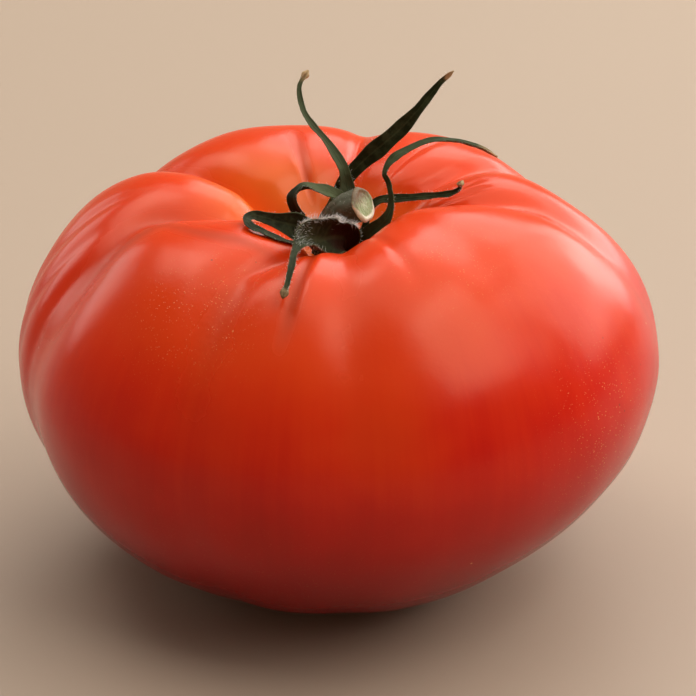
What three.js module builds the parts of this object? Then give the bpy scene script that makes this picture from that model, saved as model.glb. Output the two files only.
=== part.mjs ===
// A ribbed beefsteak tomato as picked: the fruit, the cut stump of its stalk and the seven sepals around it.
// Millimetres, +Z up. The origin is on the surface that the fruit rests on, under the middle of the fruit.
import * as THREE from 'three';

const { degToRad, lerp, smoothstep } = THREE.MathUtils;

// ---------- the fruit ----------
const FRUIT_RADIUS = 45;       // half of the widest way across
const FRUIT_HEIGHT = 57.4;     // crest of the shoulders above the surface
const CAVITY_DEPTH = 10.9;     // floor of the stem cavity below the crest
const DEPTH_TO_WIDTH = 0.94;   // the fruit is a little narrower from front to back
const CREST_AT = 0.2;          // crest, as a share of the way from the cavity to the blossom end
const EQUATOR_AT = 0.52;       // widest place, as the same share
const AROUND = 72;             // facets around the fruit
const ALONG = 36;              // facets from the cavity to the blossom end
const SCAR_RADIUS = 6;         // dimple of the blossom scar, in the middle of the flat spot
const SCAR_DEPTH = 1.1;

// Half section of the fruit, from the middle of the stem cavity to the middle of the blossom end. What
// would lie below the resting surface is pressed flat.
const CAVITY_FLOOR = FRUIT_HEIGHT - CAVITY_DEPTH;
const SECTION = [
  [0, CAVITY_FLOOR],
  [4, CAVITY_FLOOR + 0.5],
  [7.5, CAVITY_FLOOR + 3.5],
  [10.5, CAVITY_FLOOR + 6.7],
  [14.5, FRUIT_HEIGHT - 1.4],
  [22, FRUIT_HEIGHT],
  [29.5, FRUIT_HEIGHT - 1.9],
  [37, FRUIT_HEIGHT - 8.2],
  [FRUIT_RADIUS - 2.1, 40.5],
  [FRUIT_RADIUS + 0.2, 31],
  [FRUIT_RADIUS - 2.4, 20],
  [35, 10],
  [24, 2.6],
  [12, -0.3],
  [0, -0.4],
];

// Grooves between the lobes, as valleys that run out of the cavity and fade down the side.
// depth in mm, width in degrees, reach: the share of the depth that is left at the widest place.
const GROOVES = [
  { azimuth: 31, depth: 2.7, width: 7, reach: 0.1 },
  { azimuth: 80, depth: 1.9, width: 8, reach: 0.3 },
  { azimuth: 147, depth: 4.2, width: 8, reach: 0.25 },
  { azimuth: 196, depth: 4.1, width: 9, reach: 0.45 },
  { azimuth: 243, depth: 2.4, width: 7, reach: 0.3 },
  { azimuth: 274, depth: 1.4, width: 8, reach: 0.4 },
  { azimuth: 312, depth: 0.5, width: 9, reach: 0.2 },
  { azimuth: 357, depth: 2.6, width: 7, reach: 0.1 },
];

// Swells that make the lobes unlike each other; a swell with a height below zero flattens the side.
// at: share of the way from cavity to blossom end; across in degrees; spread as a share of the way.
const SWELLS = [
  { azimuth: 13, at: 0.33, height: 1, across: 24, spread: 0.1 },
  { azimuth: 22, at: 0.32, height: -1.5, across: 14, spread: 0.07 },
  { azimuth: 3, at: 0.44, height: 0.9, across: 22, spread: 0.12 },
  { azimuth: 122, at: 0.3, height: 0.7, across: 16, spread: 0.12 },
  { azimuth: 157, at: 0.33, height: 1.6, across: 16, spread: 0.13 },
  { azimuth: 225, at: 0.14, height: 1, across: 20, spread: 0.06 },
  { azimuth: 318, at: 0.13, height: 2.1, across: 27, spread: 0.08 },
  { azimuth: 290, at: 0.085, height: -1, across: 14, spread: 0.05 },
  { azimuth: 348, at: 0.74, height: -1.9, across: 36, spread: 0.12 },
];

// ---------- the calyx ----------
const CALYX_SEAT = CAVITY_FLOOR + 0.8;  // underside of the calyx, just clear of the cavity floor
const SEPAL_THICKNESS = 0.8;
const SEPAL_STEPS = 20;                 // facets along a sepal
const SEPAL_CUP = 0.16;                 // how far the edges rise, as a share of the width
const STALK_STEPS = 14;
const STALK_SIDES = 20;

// The stalk's middle line from its foot on the cavity floor to the cut end, above the calyx's seat.
const STALK_ROUTE = [
  [-0.4, 0.4, 0],
  [-0.4, 0.3, 2.4],
  [-0.1, 0, 5],
  [1.2, -0.9, 7],
  [3.4, -2.2, 8.3],
];
// Radius at places along the stalk: the spread foot that bears the sepals, the waist and the cut end.
const STALK_RADII = [3, 2.6, 2.3, 2.15, 2.2, 2.35];

// Each sepal's middle line as [x, y, height above the calyx's seat, width], from its foot to its tip, and
// the ways that its inner face looks, spread evenly from foot to tip.
const SEPALS = {
  sepal_front: {
    route: [
      [1, -3.7, 2.6, 2], [0.8, -5.2, 4.6, 3], [-0.4, -7, 6, 3.6], [-2, -9.5, 7.4, 3.6],
      [-3.6, -13, 9.5, 2.6], [-5, -17.3, 10.8, 1.8], [-5.7, -21.3, 10.3, 1.3],
      [-6.1, -24.8, 9.6, 1.2], [-6.6, -27.7, 8.6, 1.2], [-7.1, -29.6, 7.7, 1],
    ],
    faces: [
      [0.2, -0.95, -0.1], [0.5, -0.8, 0.1], [0.6, -0.7, 0.3], [0.7, -0.5, 0.4], [0.6, -0.2, 0.8],
      [0.3, -0.4, 0.9], [0, -0.6, 0.8],
    ],
  },
  sepal_front_left: {
    route: [
      [-3.1, -2.5, 2.7, 1.8], [-3.6, -3.8, 4.6, 2.6], [-4.7, -5.1, 6, 3.2], [-6.3, -6.3, 7.2, 3.2],
      [-8.2, -7.6, 8.3, 2.5], [-9.9, -8.8, 9.4, 1.6], [-11.4, -10, 10.4, 1.3], [-12.2, -11.8, 10.8, 1.2],
      [-11.6, -13.6, 10.6, 1.2], [-10.2, -14.3, 10.2, 1.3], [-8.6, -14.4, 9.5, 1.3], [-7.2, -14.2, 8.8, 1.2],
      [-6, -13.6, 8, 1],
    ],
    faces: [[0.3, -0.9, 0.2], [0.3, -0.9, 0.3], [0.4, -0.8, 0.5], [0.2, 0, 1], [0, 0, 1]],
  },
  sepal_left: {
    route: [
      [-2.1, 3.9, 2.8, 1.5], [-1, 3.7, 5.1, 1.4], [-0.4, 3.5, 6.7, 1.1], [-1.1, 2.8, 7.9, 1.1],
      [-2.6, 1.9, 8.8, 1.6], [-4.1, 0.7, 9.8, 1.8], [-5.4, -0.4, 10.1, 1.8], [-6.2, -1.2, 9.3, 1.9],
      [-5.9, -1.5, 7.9, 1.9], [-4.9, -1.5, 6.5, 1.5],
    ],
    faces: [[0, -1, 0.2], [0, -0.7, 0.6], [-0.2, -0.5, 0.8], [-0.9, -0.4, 0.2], [-0.6, -0.8, -0.2]],
  },
  sepal_back_left: {
    route: [
      [1.6, 3.9, 2.6, 1.6], [1.7, 4.5, 5.6, 1.7], [1.4, 4.9, 8, 1.6], [0.7, 5.6, 10.6, 1.5],
      [-1.4, 9, 12.8, 1.1], [-3.8, 13, 14.2, 0.9], [-5.1, 16, 15.6, 0.9], [-5.4, 18, 17.7, 0.9],
      [-4.2, 20, 19.2, 1],
    ],
    faces: [[0, -1, 0.2], [0, -0.8, 0.5], [0.2, -1, 0.4]],
  },
  sepal_back: {
    route: [
      [-0.8, 5.2, 2.8, 1.6], [-0.1, 6.3, 5.9, 1.7], [1.4, 7.1, 8.4, 2], [4, 7.3, 11.2, 2.4],
      [6.3, 7.3, 13.3, 2.6], [8.7, 7.8, 15.4, 2.2], [11, 8, 18, 1.6], [12.8, 8.5, 20.2, 1.2],
      [14.4, 9, 22, 1], [16, 9, 23.5, 0.8],
    ],
    faces: [[0, -1, 0.2], [-0.2, -1, 0.1], [-0.2, -1, 0.2]],
  },
  sepal_right: {
    route: [
      [3.7, 2, 2.7, 1.4], [4.5, 2, 5.6, 1.4], [5.8, 1.7, 7.2, 1.4], [8.6, 1.5, 7.6, 1.3],
      [11, 1, 8, 1.2], [13.3, 0.6, 8.4, 1.1], [15.4, 0.2, 9.1, 1], [16.5, 0.1, 9.8, 0.9],
      [17, 0, 10.7, 0.9],
    ],
    faces: [[-1, -0.3, 0.2], [-0.2, -0.6, 0.8], [0, -0.6, 0.8], [-0.4, -0.6, 0.6]],
  },
  sepal_front_right: {
    route: [
      [3.4, -2.7, 2.8, 1.8], [4.8, -3.4, 4.8, 2.1], [6.4, -3.8, 6.5, 1.8], [7.2, -3.8, 8, 1.4],
      [7.4, -3.1, 9.8, 1.2], [7, -2, 11.6, 1], [6.4, -1.5, 12.7, 0.8], [7.2, -0.5, 14, 1.2],
      [8.7, 0.6, 14.8, 1.3], [11.7, 2.6, 15.5, 1.3], [14.3, 3.6, 15.5, 1.3], [17.1, 4.5, 14.8, 1.2],
      [19.7, 5, 13.7, 1.1], [22.1, 5.1, 12.3, 0.8],
    ],
    faces: [[0, -0.6, 0.8], [-0.5, -0.8, 0.2], [-0.8, -0.5, 0.2], [-0.4, -0.7, 0.6], [0, 0, 1], [0.1, 0, 1]],
  },
};

// ---------- colours ----------
const SKIN = new THREE.MeshStandardMaterial({ color: 0xc4200a, roughness: 0.28, metalness: 0 });
const STALK_GREEN = new THREE.MeshStandardMaterial({ color: 0x4d5236, roughness: 0.75, metalness: 0 });
const SEPAL_GREEN = new THREE.MeshStandardMaterial({ color: 0x2c3a1e, roughness: 0.7, metalness: 0 });

/** How deep a groove cuts at one place of the section, from 0 to 1. */
function grooveStrength(share, radius, reach) {
  const outOfCavity = smoothstep(radius, 2, 11);
  const toEquator = smoothstep(share, CREST_AT, EQUATOR_AT);
  const toBlossomEnd = smoothstep(share, EQUATOR_AT, 1);
  return outOfCavity * (1 - (1 - reach) * toEquator - reach * toBlossomEnd);
}

/** Angle from one azimuth to another, in degrees, between -180 and 180. */
function turn(from, to) {
  return THREE.MathUtils.euclideanModulo(to - from + 180, 360) - 180;
}

/** How far the skin stands out of the plain section, in mm, at an azimuth and a share of the way down. */
function lobing(azimuth, share, radius) {
  let out = 0;
  for (const groove of GROOVES) {
    const aside = turn(groove.azimuth, azimuth) / groove.width;
    out -= groove.depth * grooveStrength(share, radius, groove.reach) * (1 + aside ** 2) ** -0.9;
  }
  const offAxis = smoothstep(radius, 0, 6);
  for (const swell of SWELLS) {
    const aside = turn(swell.azimuth, azimuth) / swell.across;
    const away = (share - swell.at) / swell.spread;
    out += swell.height * offAxis * Math.exp(-(aside ** 2) - away ** 2);
  }
  return out;
}

/** The fruit: a turned section whose surface is pushed in and out along the section's normal. */
function fruitGeometry() {
  const curve = new THREE.SplineCurve(SECTION.map(([x, y]) => new THREE.Vector2(x, y)));
  const section = curve.getSpacedPoints(ALONG);
  const normals = section.map((point, row) => {
    const along = section[Math.min(row + 1, ALONG)].clone().sub(section[Math.max(row - 1, 0)]);
    return new THREE.Vector2(-along.y, along.x).normalize();
  });
  const geometry = new THREE.LatheGeometry([...section].reverse(), AROUND).rotateX(Math.PI / 2);
  const position = geometry.getAttribute('position');
  for (let vertex = 0; vertex < position.count; vertex += 1) {
    const column = Math.floor(vertex / (ALONG + 1));
    const row = ALONG - (vertex % (ALONG + 1));
    const azimuth = (column / AROUND) * 360 - 90;
    const { x: radius, y: height } = section[row];
    const out = lobing(azimuth, row / ALONG, radius);
    const stretched = radius + normals[row].x * out;
    const scar = SCAR_DEPTH * (1 - smoothstep(radius, 0, SCAR_RADIUS)) * (row > ALONG * EQUATOR_AT ? 1 : 0);
    position.setXYZ(
      vertex,
      stretched * Math.cos(degToRad(azimuth)),
      stretched * Math.sin(degToRad(azimuth)) * DEPTH_TO_WIDTH,
      Math.max(height + normals[row].y * out, 0) + scar,
    );
  }
  geometry.computeBoundingBox();
  const middle = geometry.boundingBox.getCenter(new THREE.Vector3());
  return geometry.translate(-middle.x, -middle.y, 0);
}

/** Reads an evenly spaced list of values or vectors at a share from 0 to 1. */
function between(list, share, mix) {
  const place = share * (list.length - 1);
  const index = Math.min(Math.floor(place), list.length - 2);
  return mix(list[index], list[index + 1], place - index);
}

/** A smooth curve through points given from the calyx's seat. */
function routeCurve(route) {
  const points = route.map(([x, y, z]) => new THREE.Vector3(x, y, z + CALYX_SEAT));
  return new THREE.CatmullRomCurve3(points, false, 'catmullrom', 0.5);
}

/** One sepal: a thin strip bent along its route, its inner face turned as the faces say. */
function sepalGeometry({ route, faces }) {
  const curve = routeCurve(route);
  const geometry = new THREE.BoxGeometry(1, 1, 1, 2, 1, SEPAL_STEPS);
  const position = geometry.getAttribute('position');
  const corner = new THREE.Vector3();
  for (let vertex = 0; vertex < position.count; vertex += 1) {
    corner.fromBufferAttribute(position, vertex);
    const share = corner.z + 0.5;
    const tangent = curve.getTangent(share);
    const look = between(faces, share, (a, b, f) => new THREE.Vector3(...a).lerp(new THREE.Vector3(...b), f));
    const side = new THREE.Vector3().crossVectors(look, tangent).normalize();
    const inner = new THREE.Vector3().crossVectors(tangent, side);
    const width = between(route, share, (a, b, f) => lerp(a[3], b[3], f));
    const rise = corner.y * SEPAL_THICKNESS + Math.abs(corner.x) * 2 * SEPAL_CUP * width;
    const point = curve.getPoint(share).addScaledVector(side, corner.x * width).addScaledVector(inner, rise);
    position.setXYZ(vertex, point.x, point.y, point.z);
  }
  return geometry;
}

/** The stalk's stump: a round bar that spreads at its foot and leans over to a square-cut end. */
function stalkGeometry() {
  const curve = routeCurve(STALK_ROUTE);
  const geometry = new THREE.CylinderGeometry(1, 1, 1, STALK_SIDES, STALK_STEPS);
  const position = geometry.getAttribute('position');
  const corner = new THREE.Vector3();
  const across = new THREE.Vector3(0, 1, 0);
  for (let vertex = 0; vertex < position.count; vertex += 1) {
    corner.fromBufferAttribute(position, vertex);
    const share = corner.y + 0.5;
    const radius = between(STALK_RADII, share, lerp);
    const tangent = curve.getTangent(share);
    const right = new THREE.Vector3().crossVectors(across, tangent).normalize();
    const front = new THREE.Vector3().crossVectors(right, tangent);
    const point = curve.getPoint(share);
    point.addScaledVector(right, corner.x * radius).addScaledVector(front, corner.z * radius);
    position.setXYZ(vertex, point.x, point.y, point.z);
  }
  return geometry;
}

/** A named piece of the tomato. */
function piece(name, geometry, material) {
  const mesh = new THREE.Mesh(geometry, material);
  mesh.name = name;
  return mesh;
}

const tomato = new THREE.Group();
tomato.add(piece('fruit', fruitGeometry(), SKIN));
tomato.add(piece('stalk', stalkGeometry(), STALK_GREEN));
for (const [name, sepal] of Object.entries(SEPALS)) {
  tomato.add(piece(name, sepalGeometry(sepal), SEPAL_GREEN.clone()));
}

export default tomato;
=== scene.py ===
"""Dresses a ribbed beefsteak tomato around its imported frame: skin, stalk, sepals, hairs and a plain studio.

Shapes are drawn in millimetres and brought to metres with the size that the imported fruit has.
"""
import logging
import math
from dataclasses import dataclass
from enum import Enum
from typing import Optional, Sequence, Union

import bpy
import numpy as np
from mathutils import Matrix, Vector, noise

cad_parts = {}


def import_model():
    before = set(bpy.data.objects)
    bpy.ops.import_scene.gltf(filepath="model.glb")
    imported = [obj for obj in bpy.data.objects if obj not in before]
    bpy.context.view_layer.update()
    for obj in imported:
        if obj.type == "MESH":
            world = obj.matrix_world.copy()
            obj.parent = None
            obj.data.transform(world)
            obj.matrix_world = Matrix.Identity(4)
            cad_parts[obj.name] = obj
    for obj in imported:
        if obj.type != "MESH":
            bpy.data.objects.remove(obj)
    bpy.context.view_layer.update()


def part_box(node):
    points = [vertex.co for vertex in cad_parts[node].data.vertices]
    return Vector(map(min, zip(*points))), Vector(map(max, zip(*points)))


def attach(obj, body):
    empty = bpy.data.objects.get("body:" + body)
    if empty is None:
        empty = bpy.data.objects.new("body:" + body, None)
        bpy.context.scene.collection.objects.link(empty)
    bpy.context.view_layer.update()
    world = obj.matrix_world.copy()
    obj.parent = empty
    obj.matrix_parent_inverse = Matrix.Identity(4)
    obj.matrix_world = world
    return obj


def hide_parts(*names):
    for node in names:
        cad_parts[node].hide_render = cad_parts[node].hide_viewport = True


LOG = logging.getLogger("tomato")
BODY = "root"
DRAWN_WIDTH = 90.27  # the fruit's width on the drawing, in mm
HAIR_SEED = 7
Colour = tuple[float, float, float]


class Slot(Enum):
    """The record's material slots."""

    SKIN = "skin"
    STALK = "stalk"
    SEPAL = "sepal"


# ---------------------------------------------------------------- numbers


def smooth(value: np.ndarray, low: float, high: float) -> np.ndarray:
    """Smooth step from 0 at low to 1 at high."""
    share = np.clip((value - low) / (high - low), 0.0, 1.0)
    return share * share * (3.0 - 2.0 * share)


def turned(degrees: np.ndarray) -> np.ndarray:
    """Brings an angle in degrees to between -180 and 180."""
    return (degrees + 180.0) % 360.0 - 180.0


def bell(value: np.ndarray, width: float) -> np.ndarray:
    """Bell curve, 1 at zero."""
    return np.exp(-((value / width) ** 2))


def unit(vectors: np.ndarray) -> np.ndarray:
    """Vectors of length one."""
    return vectors / np.maximum(np.linalg.norm(vectors, axis=-1, keepdims=True), 1e-12)


def spline(points: Sequence[Sequence[float]], places: np.ndarray) -> np.ndarray:
    """Reads a smooth curve through points.

    Args:
        points: Rows that the curve goes through, of any width.
        places: Shares from 0 at the first point to 1 at the last.

    Returns:
        One row for each place.
    """
    rows = np.asarray(points, float)
    padded = np.vstack([2 * rows[0] - rows[1], rows, 2 * rows[-1] - rows[-2]])
    place = np.clip(places, 0.0, 1.0) * (len(rows) - 1)
    index = np.minimum(place.astype(int), len(rows) - 2)
    f = (place - index)[:, None]
    a, b, c, d = (padded[index + k] for k in range(4))
    return 0.5 * (2 * b + (c - a) * f + (2 * a - 5 * b + 4 * c - d) * f**2 + (3 * b - a - 3 * c + d) * f**3)


def keyed(values: Sequence, places: np.ndarray) -> np.ndarray:
    """Reads evenly spaced values, or rows of values.

    Args:
        values: The values, or the rows, from first to last.
        places: Shares from 0 at the first value to 1 at the last.

    Returns:
        One value, or one row, for each place.
    """
    table = np.asarray(values, float)
    stops = np.linspace(0.0, 1.0, len(table))
    if table.ndim == 1:
        return np.interp(places, stops, table)
    return np.stack([np.interp(places, stops, column) for column in table.T], -1)


def rough(points: np.ndarray, grain: float, seed: float) -> np.ndarray:
    """Reads soft noise at points.

    Args:
        points: Points in mm.
        grain: Size of the noise's features, in mm.
        seed: Shift that makes one noise unlike another.

    Returns:
        A number of about -1 to 1 for each point.
    """
    flat = points.reshape(-1, 3) / grain + seed
    found = np.array([noise.noise(Vector(row)) for row in flat])
    return found.reshape(points.shape[:-1])


# ---------------------------------------------------------------- shader graphs


class Value:
    """A socket of a shader graph. Arithmetic on it adds Math nodes."""

    def __init__(self, graph: "Graph", socket: Optional[bpy.types.NodeSocket]) -> None:
        """Keeps the socket and the graph that it is in."""
        self.graph = graph
        self.socket = socket

    def math(self, operation: str, first: "Input", second: "Input" = 0.0) -> "Value":
        """Adds one Math node."""
        return self.graph.node("ShaderNodeMath", {"operation": operation}, {0: first, 1: second})

    def __add__(self, other: "Input") -> "Value":
        """Sum."""
        return self.math("ADD", self, other)

    __radd__ = __add__

    def __sub__(self, other: "Input") -> "Value":
        """Difference."""
        return self.math("SUBTRACT", self, other)

    def __rsub__(self, other: "Input") -> "Value":
        """Difference the other way round."""
        return self.math("SUBTRACT", other, self)

    def __mul__(self, other: "Input") -> "Value":
        """Product."""
        return self.math("MULTIPLY", self, other)

    __rmul__ = __mul__

    def __truediv__(self, other: "Input") -> "Value":
        """Quotient."""
        return self.math("DIVIDE", self, other)

    def __rtruediv__(self, other: "Input") -> "Value":
        """Quotient the other way round."""
        return self.math("DIVIDE", other, self)

    def absolute(self) -> "Value":
        """The number without its sign."""
        return self.math("ABSOLUTE", self)

    def sine(self) -> "Value":
        """Sine of an angle in radians."""
        return self.math("SINE", self)

    def step(self, low: float, high: float) -> "Value":
        """Smooth step from 0 at low to 1 at high; low may be the larger."""
        sockets = {"Value": self, "From Min": low, "From Max": high}
        return self.graph.node("ShaderNodeMapRange", {"interpolation_type": "SMOOTHSTEP"}, sockets)


Input = Union[Value, float, Sequence[float]]


class Graph:
    """Builds the nodes of a material or a world."""

    def __init__(self, owner: Union[bpy.types.Material, bpy.types.World]) -> None:
        """Starts from an empty node tree.

        Args:
            owner: The material or the world that the nodes are for.
        """
        owner.use_nodes = True
        self.tree = owner.node_tree
        self.tree.nodes.clear()

    def node(
        self,
        kind: str,
        settings: Optional[dict] = None,
        sockets: Optional[dict] = None,
        output: Union[int, str] = 0,
    ) -> Value:
        """Adds a node.

        Args:
            kind: The node's type.
            settings: Its properties, which are set first.
            sockets: Values or links, by socket number, name or identifier.
            output: Number or identifier of the output wanted.

        Returns:
            That output.
        """
        made = self.tree.nodes.new(kind)
        for key, value in (settings or {}).items():
            setattr(made, key, value)
        for key, value in (sockets or {}).items():
            self.plug(self.find(made.inputs, key), value)
        outputs = made.outputs
        return Value(self, self.find(outputs, output) if len(outputs) else None)

    @staticmethod
    def find(sockets: bpy.types.bpy_prop_collection, key: Union[int, str]) -> bpy.types.NodeSocket:
        """Finds a socket.

        Args:
            sockets: A node's inputs or outputs.
            key: The socket's number, identifier or name.

        Returns:
            The socket.
        """
        if isinstance(key, int):
            return sockets[key]
        exact = [socket for socket in sockets if socket.identifier == key]
        return exact[0] if exact else sockets[key]

    def plug(self, socket: bpy.types.NodeSocket, value: Input) -> None:
        """Links a value to a socket, or sets the socket's own number or colour.

        Args:
            socket: The socket to feed.
            value: Another node's output, a number, or a colour's or vector's numbers.
        """
        if isinstance(value, Value):
            self.tree.links.new(value.socket, socket)
        elif isinstance(value, (int, float)):
            socket.default_value = value
        else:
            wanted = len(socket.default_value)
            socket.default_value = tuple(value) + (1.0,) * (wanted - len(value))

    def mix(self, factor: Input, low: Input, high: Input) -> Value:
        """Mixes two colours.

        Args:
            factor: Share of the second colour, from 0 to 1.
            low: The colour at 0.
            high: The colour at 1.

        Returns:
            The mixed colour.
        """
        sockets = {"Factor_Float": factor, "A_Color": low, "B_Color": high}
        return self.node("ShaderNodeMix", {"data_type": "RGBA"}, sockets, "Result_Color")

    def vector(self, operation: str, first: Input, second: Input = (0.0, 0.0, 0.0)) -> Value:
        """Adds one Vector Math node."""
        return self.node("ShaderNodeVectorMath", {"operation": operation}, {0: first, 1: second})

    def drawn(self) -> Value:
        """Place on the drawing, in mm."""
        place = self.node("ShaderNodeTexCoord", output="Object")
        return self.vector("MULTIPLY", place, (1000.0, 1000.0, 1000.0))

    def height(self, place: Value) -> Value:
        """The third number of a place."""
        return self.node("ShaderNodeSeparateXYZ", {}, {0: place}, 2)

    def attribute(self, name: str) -> Value:
        """A number stored on the mesh."""
        return self.node("ShaderNodeAttribute", {"attribute_name": name}, output="Fac")

    def noise(self, place: Value, grain: float, detail: float = 2.0, roughness: float = 0.5) -> Value:
        """Noise between 0 and 1 with features about grain long."""
        sockets = {"Vector": place, "Scale": 1.0 / grain, "Detail": detail, "Roughness": roughness}
        return self.node("ShaderNodeTexNoise", {}, sockets)

    def tint_noise(self, place: Value, grain: float) -> Value:
        """Noise with a separate value between 0 and 1 along each axis."""
        return self.node("ShaderNodeTexNoise", {}, {"Vector": place, "Scale": 1.0 / grain}, 1)

    def specks(self, place: Value, spacing: float) -> Value:
        """Distance to the nearest of many scattered points, in spacings."""
        return self.node("ShaderNodeTexVoronoi", {}, {"Vector": place, "Scale": 1.0 / spacing})

    def bump(
        self, height: Value, distance: float, strength: float = 1.0, under: Optional[Value] = None
    ) -> Value:
        """Turns a height into a normal.

        Args:
            height: The relief's height, where 1 is as high as distance.
            distance: That height in mm.
            strength: Share of the relief that is kept.
            under: The normal of a coarser relief that this one lies on.

        Returns:
            The normal.
        """
        sockets = {"Height": height, "Distance": distance * 0.001, "Strength": strength}
        if under is not None:
            sockets["Normal"] = under
        return self.node("ShaderNodeBump", {}, sockets)

    def surface(self, sockets: dict) -> None:
        """Ends the graph with a Principled shader."""
        shader = self.node("ShaderNodeBsdfPrincipled", {}, sockets)
        self.node("ShaderNodeOutputMaterial", {}, {"Surface": shader})


def new_material(name: str) -> tuple[bpy.types.Material, Graph]:
    """A new material and the graph that fills it."""
    material = bpy.data.materials.new(name)
    return material, Graph(material)


# ---------------------------------------------------------------- finishes


@dataclass(frozen=True)
class SkinFinish:
    """Waxy tomato skin: red, with a painted orange glow in the stem cavity, streaks, golden flecks and a
    corky scar.

    Heights, radii, grains, spacings and depths are in mm. As painted light, the skin turns to the lighter,
    more orange shoulder colour towards shoulder_height, and as painted shade to the low one below low_height.
    streak_stretch is how much a streak's grain is drawn out down the fruit: the smaller, the longer.
    """

    # Painted shade: the skin's colour at the bottom.
    low: Colour = (0.28, 0.001, 0.001)
    deep: Colour = (0.64, 0.001, 0.001)
    bright: Colour = (0.78, 0.006, 0.001)
    # Painted light: the lighter, more orange colour of the top.
    lit_shoulder: Colour = (0.80, 0.050, 0.004)
    # Painted glow of light shining through the skin in the stem cavity.
    orange: Colour = (0.88, 0.150, 0.014)
    gleam: Colour = (1.0, 0.68, 0.48)
    # Painted shade along the bottoms of grooves and creases, and the front sepal's painted shadow.
    shade_red: Colour = (0.56, 0.036, 0.001)
    fleck: Colour = (0.88, 0.30, 0.10)
    pit: Colour = (0.16, 0.02, 0.008)
    cork: Colour = (0.30, 0.17, 0.075)
    roughness: float = 0.25
    shoulder_height: float = 60.0
    low_height: float = 30.0
    tone_grain: float = 26.0
    streak_grain: float = 1.6
    streak_radius: float = 40.0
    streak_stretch: float = 0.05
    fleck_spacing: float = 0.4
    fleck_scatter: float = 0.5
    lone_spacing: float = 7.5
    pit_spacing: float = 2.6
    pit_patch: float = 13.0
    ripple_depth: float = 0.05
    pore_depth: float = 0.012

    def material(self) -> bpy.types.Material:
        """Builds the skin's nodes.

        Returns:
            The material.
        """
        material, g = new_material("tomato_skin")
        place = g.drawn()
        patches = g.attribute("flecked")
        # Painted shade along grooves and creases, with the front sepal's painted shadow on the skin.
        seam = g.attribute("seam")
        flecks = self.flecks(g, place, patches)
        lone = g.specks(place, self.lone_spacing).step(0.028, 0.012)
        cork = (g.attribute("scar") + (g.noise(place, 1.2, 4.0) - 0.5) * 0.9).step(0.45, 0.75)
        colour = g.mix(seam * 0.7, self.ripeness(g, place), self.shade_red)
        colour = g.mix(flecks * 0.85, colour, self.fleck)
        colour = g.mix(lone * 0.6, colour, self.fleck)
        colour = g.mix(self.pits(g, place, patches), colour, self.pit)
        colour = g.mix(cork, colour, self.cork)
        ripple = g.bump(g.noise(place, 3.4, 2.0), self.ripple_depth)
        fine = g.noise(place, 0.42, 2.0, 0.6) + flecks * 2.0 + cork * g.noise(place, 0.3, 3.0) * 6.0
        gloss = g.noise(place, 5.0, 3.0) * 0.08 + (self.roughness - 0.04)
        g.surface(
            {
                "Base Color": colour,
                "Roughness": gloss + seam * 0.12 + cork * 0.4,
                "Normal": g.bump(fine, self.pore_depth, 1.0, ripple),
                "Specular IOR Level": 0.52,
                "Specular Tint": self.gleam,
                "Subsurface Weight": 0.15,
                "Subsurface Radius": (1.0, 0.2, 0.1),
                "Subsurface Scale": 0.004,
            }
        )
        return material

    def ripeness(self, g: Graph, place: Value) -> Value:
        """Colour of sound skin, bright in the middle, with painted shade making it dark red below, painted
        light making the top lighter and more orange, and a painted orange glow around the stem.

        Args:
            g: The graph to add to.
            place: Place on the drawing.

        Returns:
            The colour.
        """
        tone = g.noise(place, self.tone_grain, 3.0)
        streak = self.streaks(g, place)
        height = g.height(place)
        # Painted light: lighter and more orange towards the top, where the lamps fall.
        upper = height / self.shoulder_height + (tone - 0.5) * 0.7 + (streak - 0.5) * 0.1
        # Painted glow: the stem cavity and the creases near it turn orange, as if lit through the skin.
        cavity_glow = g.attribute("hollow") + g.attribute("crease") * 0.25 + (tone - 0.5) * 0.25
        # Painted shade: darker towards the bottom.
        lower = height / self.low_height + (tone - 0.5) * 0.5
        colour = g.mix((tone * 0.7 + streak * 0.3).step(0.2, 0.8), self.deep, self.bright)
        colour = g.mix(upper.step(0.45, 0.95), colour, self.lit_shoulder)
        colour = g.mix(cavity_glow.step(0.12, 1.0), colour, self.orange)
        return g.mix(lower.step(1.35, 0.25), colour, self.low)

    def streaks(self, g: Graph, place: Value) -> Value:
        """Fine streaks that run from the stem to the blossom end.

        Args:
            g: The graph to add to.
            place: Place on the drawing.

        Returns:
            A number from 0 to 1.
        """
        way = g.vector("NORMALIZE", g.vector("MULTIPLY", place, (1.0, 1.0, 0.0)))
        around = g.vector("MULTIPLY", way, (self.streak_radius, self.streak_radius, 0.0))
        down = g.vector("MULTIPLY", place, (0.0, 0.0, self.streak_stretch))
        return g.noise(g.vector("ADD", around, down), self.streak_grain, 3.0, 0.6)

    def flecks(self, g: Graph, place: Value, patches: Value) -> Value:
        """Golden flecks, dense in the flecked patches.

        Args:
            g: The graph to add to.
            place: Place on the drawing.
            patches: How strongly each place is flecked.

        Returns:
            A number from 0 to 1.
        """
        grains = g.noise(place, 1.1, 1.0).step(0.4, 0.56)
        shift = g.vector("MULTIPLY", g.tint_noise(place, 0.5), (self.fleck_scatter,) * 3)
        uneven = g.vector("ADD", place, shift)
        return g.specks(uneven, self.fleck_spacing).step(0.24, 0.1) * patches * grains

    def pits(self, g: Graph, place: Value, patches: Value) -> Value:
        """Small dark pits, in some places of the flecked patches.

        Args:
            g: The graph to add to.
            place: Place on the drawing.
            patches: How strongly each place is flecked.

        Returns:
            A number from 0 to 1.
        """
        pits = g.specks(g.vector("ADD", place, (3.1, 1.7, 5.3)), self.pit_spacing).step(0.075, 0.04)
        pitted = g.noise(g.vector("ADD", place, (40.0, 9.0, 2.0)), self.pit_patch, 1.0).step(0.5, 0.6)
        return pits * pitted * patches


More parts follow.
